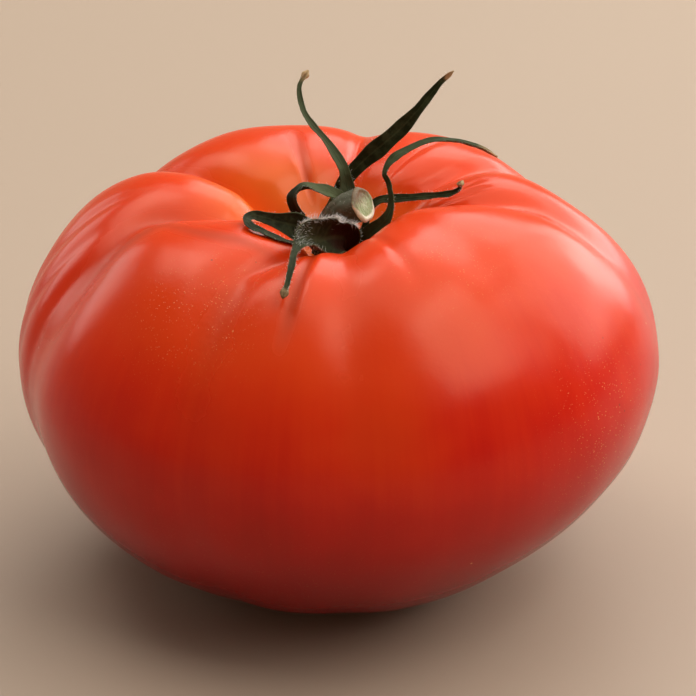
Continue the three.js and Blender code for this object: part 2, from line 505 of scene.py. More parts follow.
@dataclass(frozen=True)
class LeafFinish:
    """Dull green leaf with a lighter downy outer side, fine veins and a dry tan tip.

    blushed is how strongly painted shade, reddened as by the fruit's reflection, darkens the inner face near
    the foot, dried how dry the tip is, and shaded_tail how much darker the half towards the tip is.
    """

    name: str
    inner: Colour = (0.011, 0.014, 0.004)
    outer: Colour = (0.060, 0.074, 0.026)
    rib: Colour = (0.075, 0.085, 0.034)
    # Painted shade with a painted red reflection of the fruit, for the inner face near the foot.
    reflected_red_shade: Colour = (0.022, 0.003, 0.002)
    tail: Colour = (0.008, 0.010, 0.004)
    dry: Colour = (0.42, 0.27, 0.13)
    reflected_red_shading: float = 0.0
    dried: float = 1.0
    shaded_tail: float = 0.0
    veins: float = 14.0
    vein_slant: float = 1.6

    def material(self) -> bpy.types.Material:
        """Builds the leaf's nodes.

        Returns:
            The material.
        """
        material, g = new_material(self.name)
        place = g.drawn()
        along = g.attribute("along")
        mottle = g.noise(place, 1.3, 4.0, 0.6)
        off_rib = g.attribute("across").absolute()
        rib = off_rib.step(0.16, 0.03)
        veins = ((along * self.veins - off_rib * self.vein_slant) * math.tau).sine()
        colour = self.blade(g, along, mottle)
        colour = g.mix(rib * 0.25 + veins.step(0.75, 1.0) * 0.05, colour, self.rib)
        colour = g.mix(off_rib.step(0.86, 1.0) * 0.3, colour, self.rib)
        dried = (along + (mottle - 0.5) * 0.16).step(0.9, 0.98)
        colour = g.mix(dried * self.dried, colour, self.dry)
        relief = g.bump(veins.step(0.3, 1.0) * 0.2 + rib * -0.6 + mottle, 0.05)
        g.surface(
            {
                "Base Color": colour,
                "Roughness": mottle * 0.2 + 0.5,
                "Normal": g.bump(g.noise(place, 0.12, 2.0, 0.7), 0.02, 0.8, relief),
                "Specular IOR Level": 0.12,
                "Specular Tint": (0.9, 1.0, 0.6),
                "Sheen Weight": 0.02,
                "Sheen Roughness": 0.5,
                "Sheen Tint": (0.8, 0.85, 0.55),
            }
        )
        return material

    def blade(self, g: Graph, along: Value, mottle: Value) -> Value:
        """Colour of the blade between the veins, on both faces, with painted shade near the foot and towards
        the tip.

        Args:
            g: The graph to add to.
            along: Share of the way from foot to tip.
            mottle: Blotchy noise between 0 and 1.

        Returns:
            The colour.
        """
        inside = g.attribute("inside")
        near_foot = (along + (mottle - 0.5) * 0.1).step(0.42, 0.3)
        colour = g.mix(inside, self.outer, self.inner)
        colour = g.mix(mottle.step(0.35, 0.7) * 0.35, colour, self.rib)
        # Painted shade, reddened by a painted reflection of the fruit, inside the leaf near its foot.
        colour = g.mix(inside * near_foot * self.reflected_red_shading, colour, self.reflected_red_shade)
        return g.mix(along.step(0.55, 0.7) * self.shaded_tail, colour, self.tail)


@dataclass(frozen=True)
class StalkFinish:
    """Downy olive bark with paler streaks along the stalk, painted shade at its foot among the sepals, and
    pale flecks with a painted highlight towards the cut end.
    """

    dark: Colour = (0.026, 0.032, 0.011)
    pale: Colour = (0.085, 0.090, 0.045)
    # Painted shade at the foot, among the sepals.
    foot: Colour = (0.014, 0.018, 0.006)
    # Pale flecks and a painted highlight towards the cut end.
    flecks_and_highlight: Colour = (0.15, 0.15, 0.10)
    streaks: float = 14.0
    unrest: float = 7.0

    def material(self) -> bpy.types.Material:
        """Builds the bark's nodes.

        Returns:
            The material.
        """
        material, g = new_material("stalk_bark")
        place = g.drawn()
        along = g.attribute("along")
        wavy = g.noise(place, 1.0, 4.0, 0.6)
        lines = (g.attribute("around") * self.streaks + wavy * self.unrest).sine() * 0.5 + 0.5
        colour = g.mix((lines * 0.2 + wavy * 0.9).step(0.35, 0.8), self.dark, self.pale)
        # Painted shade: darker towards the foot.
        colour = g.mix(along.step(0.4, 0.15), colour, self.foot)
        # Pale flecks with a painted highlight, towards the cut end.
        colour = g.mix(along.step(0.5, 0.9) * (wavy + 0.2), colour, self.flecks_and_highlight)
        relief = g.bump(lines * 0.15 + wavy * 0.6, 0.05)
        g.surface(
            {
                "Base Color": colour,
                "Roughness": wavy * 0.2 + 0.55,
                "Normal": g.bump(g.noise(place, 0.1, 2.0, 0.7), 0.02, 0.8, relief),
                "Specular IOR Level": 0.12,
                "Sheen Weight": 0.03,
                "Sheen Roughness": 0.5,
                "Sheen Tint": (0.8, 0.8, 0.65),
            }
        )
        return material


@dataclass(frozen=True)
class CutFinish:
    """Cut end of the stalk: a cream rim of bark, pale green pith and brown drying streaks."""

    pith: Colour = (0.34, 0.40, 0.18)
    core: Colour = (0.50, 0.53, 0.30)
    rim: Colour = (0.86, 0.80, 0.56)
    brown: Colour = (0.20, 0.13, 0.06)

    def material(self) -> bpy.types.Material:
        """Builds the cut end's nodes.

        Returns:
            The material.
        """
        material, g = new_material("stalk_cut")
        place = g.drawn()
        ring = g.attribute("ring")
        upper = g.attribute("upper")
        fibre = g.noise(g.vector("MULTIPLY", place, (3.0, 3.0, 0.55)), 0.9, 3.0, 0.6)
        grain = g.noise(place, 0.35, 2.0)
        edge = (ring + (grain - 0.5) * 0.12 - (upper - 0.2) * 0.7).step(0.6, 0.74)
        colour = g.mix(ring.step(0.45, 0.1), self.pith, self.core)
        colour = g.mix((upper * 1.2 + fibre * 0.8 - 0.4).step(0.55, 0.95), colour, self.brown)
        g.surface(
            {
                "Base Color": g.mix(edge, colour, self.rim),
                "Roughness": grain * 0.3 + 0.35,
                "Normal": g.bump(fibre * 0.8 + grain * 0.4, 0.12),
                "Subsurface Weight": 0.2,
                "Subsurface Radius": (1.0, 0.9, 0.5),
                "Subsurface Scale": 0.0008,
            }
        )
        return material


@dataclass(frozen=True)
class HairFinish:
    """Pale down hairs, palest at the tips."""

    root: Colour = (0.45, 0.45, 0.33)
    tip: Colour = (0.95, 0.93, 0.85)

    def material(self) -> bpy.types.Material:
        """Builds the hairs' nodes.

        Returns:
            The material.
        """
        material, g = new_material("down_hairs")
        shade = g.noise(g.drawn(), 0.8, 2.0)
        paler = g.attribute("along") + (shade - 0.5) * 0.5
        colour = g.mix(paler.step(0.0, 0.6), self.root, self.tip)
        g.surface({"Base Color": colour, "Roughness": shade * 0.2 + 0.3, "Specular IOR Level": 0.6})
        return material


@dataclass(frozen=True)
class FloorFinish:
    """Plain pale studio floor that fades to the horizon's colour far from the fruit.

    Its cloudy parts are shade times as bright. fade_start and fade_end are in metres from the fruit.
    """

    horizon: Colour
    colour: Colour = (0.46, 0.34, 0.24)
    shade: float = 0.97
    fade_start: float = 0.3
    fade_end: float = 1.1

    def material(self) -> bpy.types.Material:
        """Builds the floor's nodes.

        Returns:
            The material.
        """
        material, g = new_material("studio_floor")
        cloud = g.noise(g.drawn(), 160.0, 2.0)
        darker = tuple(channel * self.shade for channel in self.colour)
        sheet = {"Base Color": g.mix(cloud, self.colour, darker), "Roughness": 0.6}
        near = g.node("ShaderNodeBsdfPrincipled", {}, sheet)
        place = g.node("ShaderNodeTexCoord", output="Object")
        away = g.node("ShaderNodeVectorMath", {"operation": "LENGTH"}, {0: place}, "Value")
        far = g.node("ShaderNodeEmission", {}, {"Color": self.horizon, "Strength": 1.0})
        fade = away.step(self.fade_start, self.fade_end)
        mixed = g.node("ShaderNodeMixShader", {}, {0: fade, 1: near, 2: far})
        g.node("ShaderNodeOutputMaterial", {}, {"Surface": mixed})
        return material


# ---------------------------------------------------------------- meshes


def make_object(
    name: str,
    points: np.ndarray,
    faces: Sequence,
    material: bpy.types.Material,
    values: dict[str, np.ndarray],
) -> bpy.types.Object:
    """Makes a smooth-shaded mesh object.

    Args:
        name: The piece's name.
        points: Vertices, in metres.
        faces: Vertex numbers of each face.
        material: The piece's finish.
        values: Numbers to store on the vertices, by name.

    Returns:
        The new object, linked to the scene.
    """
    mesh = bpy.data.meshes.new(name)
    mesh.from_pydata(points.tolist(), [], [list(map(int, face)) for face in faces])
    mesh.polygons.foreach_set("use_smooth", np.ones(len(mesh.polygons), bool))
    for key, numbers in values.items():
        layer = mesh.attributes.new(key, "FLOAT", "POINT")
        layer.data.foreach_set("value", np.asarray(numbers, np.float32).ravel())
    mesh.materials.append(material)
    made = bpy.data.objects.new(name, mesh)
    bpy.context.scene.collection.objects.link(made)
    return made


def fit(made: bpy.types.Object, slot: Slot, *nodes: str) -> bpy.types.Object:
    """Fastens a piece to the object and hides the nodes that it stands for.

    Args:
        made: The piece.
        slot: The material slot meant for it; not used.
        nodes: Names of the nodes that it stands for, if any.

    Returns:
        The piece.
    """
    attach(made, BODY)
    if nodes:
        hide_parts(*nodes)
    LOG.info("%s: %d faces", made.name, len(made.data.polygons))
    return made


def grid_faces(rows: int, columns: int, closed: bool, start: int = 0) -> np.ndarray:
    """Quads of a grid of vertices, row after row.

    Args:
        rows: How many rows of vertices there are.
        columns: How many vertices a row has.
        closed: Whether the last column joins the first.
        start: Number of the grid's first vertex.

    Returns:
        Four vertex numbers for each quad.
    """
    across = columns if closed else columns - 1
    row, column = np.meshgrid(np.arange(rows - 1), np.arange(across), indexing="ij")
    following = (column + 1) % columns
    corners = [row * columns + column, row * columns + following]
    corners += [(row + 1) * columns + following, (row + 1) * columns + column]
    return np.stack([corner.ravel() for corner in corners], -1) + start


def fan(middle: int, first: int, count: int, flipped: bool = False) -> list[tuple]:
    """Triangles that close a ring of vertices.

    Args:
        middle: Number of the vertex in the ring's middle.
        first: Number of the ring's first vertex.
        count: How many vertices the ring has.
        flipped: Whether the triangles face the other way.

    Returns:
        Three vertex numbers for each triangle.
    """
    here = first + np.arange(count)
    following = first + (np.arange(count) + 1) % count
    pairs = zip(following, here) if flipped else zip(here, following)
    return [(middle, *pair) for pair in pairs]


def sheet_faces(rows: int, columns: int) -> list:
    """Faces of a closed thin sheet: an upper grid, a lower grid after it and the strip between them.

    Args:
        rows: How many rows of vertices each grid has.
        columns: How many vertices a row has.

    Returns:
        Vertex numbers of each face.
    """
    lower = rows * columns
    faces = list(grid_faces(rows, columns, False)) + list(grid_faces(rows, columns, False, lower)[:, ::-1])
    first, last = (rows - 1) * columns, columns - 1
    border = list(range(0, columns)) + [row * columns + last for row in range(1, rows)]
    border += [first + column for column in range(columns - 2, -1, -1)]
    border += [row * columns for row in range(rows - 2, 0, -1)]
    for here, following in zip(border, border[1:] + border[:1]):
        faces.append((following, here, here + lower, following + lower))
    return faces


def spokes(right: np.ndarray, front: np.ndarray, angle: np.ndarray) -> np.ndarray:
    """Directions around an axis.

    Args:
        right: Direction at angle 0, for each place on the axis.
        front: Direction at a quarter turn.
        angle: Angles in radians, in one row.

    Returns:
        A direction for each place and angle.
    """
    return right[..., None, :] * np.cos(angle)[..., None] + front[..., None, :] * np.sin(angle)[..., None]


@dataclass(frozen=True)
class Setting:
    """Where the drawing lies in the frame."""

    scale: float
    seat: float

    @classmethod
    def from_frame(cls) -> "Setting":
        """Reads the drawing's scale and the height of the calyx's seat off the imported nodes."""
        low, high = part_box("fruit")
        return cls((high.x - low.x) / DRAWN_WIDTH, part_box("stalk")[0].z)

    def calyx(self, points: np.ndarray) -> np.ndarray:
        """Points given in mm from the calyx's seat, in metres."""
        return points * self.scale + np.array([0.0, 0.0, self.seat])


# ---------------------------------------------------------------- the fruit

# Shares of the way down the fruit's section, from the stem cavity's floor to the blossom end.
CREST_AT = 0.2
EQUATOR_AT = 0.52


@dataclass(frozen=True)
class Groove:
    """A valley between two lobes. Angles are in degrees and depth is in mm.

    reach is the share of the depth left at the widest place. swing turns the valley aside around the share
    of the way down that swing_at gives. tint is how much painted shade darkens the skin along its bottom.
    """

    azimuth: float
    depth: float
    width: float
    reach: float
    swing: float = 0.0
    swing_at: float = 0.2
    shade_strength: float = 0.0

    def aside(self, azimuth: np.ndarray, share: np.ndarray) -> np.ndarray:
        """How far each place is from the valley's bottom, in widths."""
        middle = self.azimuth + self.swing * bell(share - self.swing_at, 0.08)
        return turned(azimuth - middle) / self.width

    def cut(self, azimuth: np.ndarray, share: np.ndarray, radius: np.ndarray) -> np.ndarray:
        """How deep the valley is.

        Args:
            azimuth: Angles around the fruit.
            share: Shares of the way down the section.
            radius: Distances from the axis, in mm.

        Returns:
            The depth at each place, in mm.
        """
        upper = (1 - self.reach) * smooth(share, CREST_AT, EQUATOR_AT)
        fade = upper + self.reach * smooth(share, EQUATOR_AT, 1)
        profile = (1 + self.aside(azimuth, share) ** 2) ** -0.9
        return self.depth * smooth(radius, 2, 11) * (1 - fade) * profile

    def line(self, azimuth: np.ndarray, share: np.ndarray) -> np.ndarray:
        """The painted shade along the valley's bottom, from 0 to 1."""
        fade = smooth(share, 0.1, 0.15) * (1 - smooth(share, 0.3, 0.5))
        return bell(self.aside(azimuth, share), 0.55) * fade


@dataclass(frozen=True)
class Swell:
    """A soft bulge, or with a height below zero a flat, that makes a lobe unlike the others.

    It is height mm high at an azimuth and a share of the way down, and fades over across degrees and over
    spread of the way down.
    """

    azimuth: float
    at: float
    height: float
    across: float
    spread: float

    def rise(self, azimuth: np.ndarray, share: np.ndarray) -> np.ndarray:
        """Height of the bulge at each place, in mm."""
        around = bell(turned(azimuth - self.azimuth), self.across)
        return self.height * around * bell(share - self.at, self.spread)


@dataclass(frozen=True)
class Crease:
    """A fine fold in the skin from one share of the way down to another, leaning aside by lean degrees.

    depth is in mm and width in degrees. tint is how much painted shade darkens the skin in it.
    """

    azimuth: float
    depth: float
    width: float
    start: float
    stop: float
    lean: float = 0.0
    shade_strength: float = 0.0

    def line(self, azimuth: np.ndarray, share: np.ndarray) -> np.ndarray:
        """The fold's own outline.

        Args:
            azimuth: Angles around the fruit.
            share: Shares of the way down the section.

        Returns:
            A number from 0 to 1 at each place.
        """
        place = (share - self.start) / (self.stop - self.start)
        inside = smooth(place, 0.0, 0.3) * (1 - smooth(place, 0.5, 1.0))
        return inside * bell(turned(azimuth - self.azimuth - self.lean * place), self.width)


@dataclass(frozen=True)
class Patch:
    """A part of the skin that is rich in golden flecks, around an azimuth and a share of the way down.

    It fades over across degrees and over spread of the way down.
    """

    azimuth: float
    at: float
    across: float
    spread: float
    strength: float = 1.0

    def share(self, azimuth: np.ndarray, share: np.ndarray) -> np.ndarray:
        """How strongly each place is flecked, from 0 up."""
        around = bell(turned(azimuth - self.azimuth), self.across)
        return self.strength * around * bell(share - self.at, self.spread)


# The tint values paint shade along the bottoms of the left and front grooves.
GROOVES = (
    Groove(31, 2.7, 7, 0.1),
    Groove(80, 1.9, 8, 0.3),
    Groove(147, 4.2, 8, 0.25, shade_strength=0.5),
    Groove(196, 4.1, 9, 0.45, -9, 0.24, shade_strength=1.0),
    Groove(243, 2.4, 7, 0.3, 16, 0.12, shade_strength=0.7),
    Groove(274, 1.6, 8, 0.5, shade_strength=0.3),
    Groove(312, 0.5, 9, 0.2),
    Groove(357, 2.6, 7, 0.1),
)
SWELLS = (
    Swell(13, 0.33, 1, 24, 0.1),
    Swell(22, 0.32, -1.5, 14, 0.07),
    Swell(3, 0.44, 0.9, 22, 0.12),
    Swell(122, 0.3, 0.7, 16, 0.12),
    Swell(157, 0.33, 1.6, 16, 0.13),
    Swell(225, 0.14, 1, 20, 0.06),
    Swell(318, 0.13, 2.1, 27, 0.08),
    Swell(290, 0.085, -1, 14, 0.05),
    Swell(348, 0.74, -1.9, 36, 0.12),
)
CREASES = (
    Crease(356, 0.9, 2.4, 0.08, 0.25, -3),
    Crease(3, 0.35, 1.2, 0.12, 0.22, 5),
    Crease(8, 0.25, 1.2, 0.13, 0.21, 6),
    Crease(30, 0.5, 2.6, 0.09, 0.3, 6),
    Crease(262, 0.5, 3.0, 0.1, 0.28, -24),
    Crease(290, 0.3, 2.5, 0.11, 0.3, 2),
    Crease(205, 0.3, 3.0, 0.1, 0.25, -10),
    Crease(172, 0.35, 2.2, 0.22, 0.56, 3),
    Crease(181, 0.3, 2.0, 0.26, 0.6, 2),
    Crease(189, 0.35, 2.2, 0.3, 0.58, 4),
    Crease(146, 0.6, 3.0, 0.08, 0.3, 3),
    # Where a last number is given, it paints shade into the skin: a painted dark streak where a sepal is
    # reflected on the back wall, the front sepal's painted shadow, and painted shade bands on the front-left
    # lobes.
    Crease(110, 0.5, 3.2, 0.07, 0.24, -6, 1.0),
    Crease(262.5, 0.6, 1.8, 0.14, 0.37, -4.5, 1.7),
    Crease(252, 0.05, 11.0, 0.18, 0.245, -62, 1.25),
    Crease(202, 0.05, 4.0, 0.2, 0.36, -6, 1.2),
    Crease(80, 0.7, 2.8, 0.08, 0.3, 2),
    Crease(55, 0.4, 2.4, 0.1, 0.27, -4),
)
FLECKED = (
    Patch(236, 0.31, 15, 0.07),
    Patch(248, 0.25, 16, 0.05, 0.8),
    Patch(325, 0.48, 12, 0.08, 1.2),
    Patch(305, 0.25, 16, 0.06, 0.8),
    Patch(120, 0.4, 30, 0.12, 0.8),
    Patch(50, 0.45, 18, 0.12, 0.7),
    Patch(180, 0.7, 180, 0.2, 0.15),
)


@dataclass
class Fruit:
    """The fruit: a turned section whose surface is pushed in and out along the section's normal. In mm.

    The cavity's painted orange glow, which stands for light shining through the skin, ends orange_reach of
    the way down the section, and orange_extra further at orange_azimuth, which fades over orange_spread
    degrees. Near it the creases get the painted glow too, most where they are full_crease deep.
    """

    setting: Setting
    radius: float = 45.0
    height: float = 57.4
    cavity_depth: float = 10.9
    depth_to_width: float = 0.94
    uneven_grain: float = 9.0
    uneven_depth: float = 0.16
    scar_radius: float = 6.0
    scar_depth: float = 1.1
    nub_radius: float = 1.1
    nub_height: float = 0.8
    cork_radius: float = 4.4
    full_crease: float = 4.0
    orange_reach: float = 0.17
    orange_extra: float = 0.12
    orange_azimuth: float = 142.0
    orange_spread: float = 45.0
    around: int = 384
    along: int = 240

    def section(self) -> np.ndarray:
        """Half section from the stem cavity's floor to the blossom end.

        Returns:
            Radius and height at even steps.
        """
        floor = self.height - self.cavity_depth
        points = [
            (0, floor),
            (4, floor + 0.5),
            (7.5, floor + 3.5),
            (10.5, floor + 6.7),
            (14.5, self.height - 1.4),
            (22, self.height),
            (29.5, self.height - 1.9),
            (37, self.height - 8.2),
            (self.radius - 2.1, 40.5),
            (self.radius + 0.2, 31),
            (self.radius - 2.4, 20),
            (35, 10),
            (24, 2.6),
            (12, -0.3),
            (0, -0.4),
        ]
        fine = spline(points, np.linspace(0, 1, 40 * len(points)))
        run = np.concatenate([[0.0], np.cumsum(np.linalg.norm(np.diff(fine, axis=0), axis=1))])
        steps = np.linspace(0, run[-1], self.along + 1)
        return np.stack([np.interp(steps, run, fine[:, 0]), np.interp(steps, run, fine[:, 1])], -1)

    def build(self, finish: SkinFinish) -> bpy.types.Object:
        """Makes the fruit and hangs it on its node.

        Args:
            finish: What the skin looks like.

        Returns:
            The fruit.
        """
        section = self.section()
        azimuth = np.linspace(0, 360, self.around, endpoint=False)[None, :]
        share = np.linspace(0, 1, self.along + 1)[:, None]
        radius = section[:, :1]
        valley = sum(groove.cut(azimuth, share, radius) for groove in GROOVES)
        folds = sum(crease.depth * crease.line(azimuth, share) for crease in CREASES)
        swell = sum(swell.rise(azimuth, share) for swell in SWELLS) * smooth(radius, 0, 6)
        points = self.skin(section, azimuth, share, swell - valley - folds)
        return self.close(points, self.marks(azimuth, share, radius, valley + folds), finish)

    def skin(
        self, section: np.ndarray, azimuth: np.ndarray, share: np.ndarray, out: np.ndarray
    ) -> np.ndarray:
        """The skin with its lobes, unevenness and scar, centred on the axis of the object.

        Args:
            section: Radius and height of the plain section's points.
            azimuth: Angles around the fruit.
            share: Shares of the way down the section.
            out: How far the lobes and creases push each place out.

        Returns:
            Points, row by row from the stem cavity to the blossom end.
        """
        run = np.gradient(section, axis=0)
        normal = unit(np.stack([-run[:, 1], run[:, 0]], -1))
        radius = section[:, :1]
        lobed = self.place(section, normal, azimuth, out)
        uneven = rough(lobed, self.uneven_grain, seed=3.7) * self.uneven_depth
        out = out + uneven * smooth(radius, 2, 12) * (1 - smooth(share, 0.8, 0.88))
        points = self.place(section, normal, azimuth, out)
        points += self.scar(radius, azimuth, share)[..., None] * np.array([0, 0, 1.0])
        middle = (points.reshape(-1, 3).min(0) + points.reshape(-1, 3).max(0)) / 2
        return points - np.array([middle[0], middle[1], 0])

    def place(
        self, section: np.ndarray, normal: np.ndarray, azimuth: np.ndarray, out: np.ndarray
    ) -> np.ndarray:
        """Points that stand off the plain section.

        Args:
            section: Radius and height of the section's points.
            normal: Directions that the section faces.
            azimuth: Angles around the fruit.
            out: How far each place stands off.

        Returns:
            Points, never below the resting surface.
        """
        radius = section[:, :1] + normal[:, :1] * out
        height = np.maximum(section[:, 1:] + normal[:, 1:] * out, 0.0)
        angle = np.radians(azimuth)
        return np.stack([radius * np.cos(angle), radius * np.sin(angle) * self.depth_to_width, height], -1)

    def scar(self, radius: np.ndarray, azimuth: np.ndarray, share: np.ndarray) -> np.ndarray:
        """The blossom scar's puckered dimple, with a corky nub in its middle.

        Args:
            radius: Distances from the axis.
            azimuth: Angles around the fruit.
            share: Shares of the way down the section.

        Returns:
            How far each place is lifted.
        """
        angle = np.radians(azimuth)
        pucker = 1 + 0.22 * np.cos(angle * 5 + 0.6) + 0.1 * np.cos(angle * 11)
        dimple = self.scar_depth * (1 - smooth(radius, 0, self.scar_radius)) * pucker
        nub = self.nub_height * bell(radius, self.nub_radius) * (1 + 0.2 * np.cos(angle * 4))
        return (dimple - nub) * (share > EQUATOR_AT)

    def marks(
        self, azimuth: np.ndarray, share: np.ndarray, radius: np.ndarray, creased: np.ndarray
    ) -> dict[str, np.ndarray]:
        """What the skin's finish reads off the mesh.

        Args:
            azimuth: Angles around the fruit.
            share: Shares of the way down the section.
            radius: Distances from the axis.
            creased: How deep the grooves and creases are.

        Returns:
            Numbers for each place, by name.
        """
        blossom = (1 - smooth(radius, 1.6, self.cork_radius)) * (share > EQUATOR_AT)
        orange_side = bell(turned(azimuth - self.orange_azimuth), self.orange_spread)
        folds = [*GROOVES, *CREASES]
        return {
            # hollow and crease carry the cavity's painted orange glow.
            "hollow": 1 - smooth(share, 0.03, self.orange_reach + self.orange_extra * orange_side),
            "crease": np.clip(creased / self.full_crease, 0, 1) * (1 - smooth(share, 0.2, 0.45)),
            "scar": blossom * np.ones_like(creased),
            # Painted shade along the grooves and creases.
            "seam": sum(fold.shade_strength * fold.line(azimuth, share) for fold in folds),
            "flecked": sum(patch.share(azimuth, share) for patch in FLECKED),
        }

    def close(
        self, points: np.ndarray, values: dict[str, np.ndarray], finish: SkinFinish
    ) -> bpy.types.Object:
        """Closes the grid with a point at each end of the axis and makes the object.

        Args:
            points: The skin's points, row by row.
            values: Numbers for each point, by name.
            finish: What the skin looks like.

        Returns:
            The fruit.
        """
        inner = points[1:-1].reshape(-1, 3)
        top, bottom = points[0].mean(0), points[-1].mean(0)
        faces = list(grid_faces(self.along - 1, self.around, True)[:, ::-1])
        faces += fan(len(inner), 0, self.around)
        faces += fan(len(inner) + 1, (self.along - 2) * self.around, self.around, flipped=True)
        stored = {
            name: np.concatenate([rows[1:-1].ravel(), [rows[0].mean(), rows[-1].mean()]])
            for name, rows in values.items()
        }
        metres = np.vstack([inner, top, bottom]) * self.setting.scale
        made = make_object("tomato_fruit", metres, faces, finish.material(), stored)
        return fit(made, Slot.SKIN, "fruit")


# ---------------------------------------------------------------- hairs

SPIKE_SIDES = 3


class Where(Enum):
    """Part of a leaf that hairs stand on."""

    LEFT_EDGE = "left edge"
    BOTH_EDGES = "both edges"
    INNER_FACE = "inner face"
    OUTER_FACE = "outer face"


@dataclass(frozen=True)
class Down:
    """A coat of fine tapered hairs, each a closed three-sided spike with one bend. Lengths in mm.

    start and stop are the shares of the leaf or stalk that it covers, unruly is how far the hairs'
    directions scatter, sunk is how deep their feet stand and taper is the share of the radius left at the
    bend.
    """

    count: int
    length: float
    radius: float
    where: Where = Where.BOTH_EDGES
    start: float = 0.04
    stop: float = 0.96
    unruly: float = 0.28
    sunk: float = 0.08
    taper: float = 0.62

    def rows(self, rows: int, rng: np.random.Generator) -> np.ndarray:
        """Picks the row that each hair stands on."""
        return rng.integers(int(self.start * rows), int(self.stop * rows), self.count)

    def spikes(self, roots: np.ndarray, ways: np.ndarray, rng: np.random.Generator) -> np.ndarray:
        """Corners of all the spikes: a foot ring, a middle ring and a tip for each.

        Args:
            roots: Where the hairs stand.
            ways: Which way each points.
            rng: Seeded random numbers.

        Returns:
            Corners, spike after spike.
        """
        count = len(roots)
        way = unit(unit(ways) + rng.normal(0, self.unruly, (count, 3)))
        helper = np.where(np.abs(way[:, 2:]) < 0.8, np.array([[0, 0, 1.0]]), np.array([[1.0, 0, 0]]))
        right = unit(np.cross(way, helper))
        front = np.cross(right, way)
        length = self.length * rng.uniform(0.45, 1.3, (count, 1))
        bend = (right * rng.normal(0, 0.3, (count, 1)) + front * rng.normal(0, 0.3, (count, 1))) * length
        ring = spokes(right, front, np.arange(SPIKE_SIDES) * math.tau / SPIKE_SIDES)
        start = roots - way * self.sunk
        middle = start + way * length * 0.55 + bend * 0.25
        tip = start + way * length + bend
        low = start[:, None] + ring * self.radius
        high = middle[:, None] + ring * self.radius * self.taper
        return np.concatenate([low, high, tip[:, None]], 1).reshape(-1, 3)


def grow_hairs(name: str, corners: np.ndarray, setting: Setting, slot: Slot) -> bpy.types.Object:
    """Makes one object of all the spikes.

    Args:
        name: The piece's name.
        corners: Corners of the spikes, in mm from the calyx's seat.
        setting: Where the drawing lies in the frame.
        slot: The material slot to fill.

    Returns:
        The object.
    """
    n = SPIKE_SIDES
    step = 2 * n + 1
    faces = []
    for first in range(0, len(corners), step):
        faces.append([first + side for side in range(n)][::-1])
        for side in range(n):
            following = (side + 1) % n
            faces.append((first + side, first + following, first + n + following, first + n + side))
            faces.append((first + n + side, first + n + following, first + 2 * n))
    along = np.tile(np.array([0.0] * n + [0.5] * n + [1.0]), len(corners) // step)
    made = make_object(name, setting.calyx(corners), faces, HairFinish().material(), {"along": along})
    return fit(made, slot)


# ---------------------------------------------------------------- the stalk


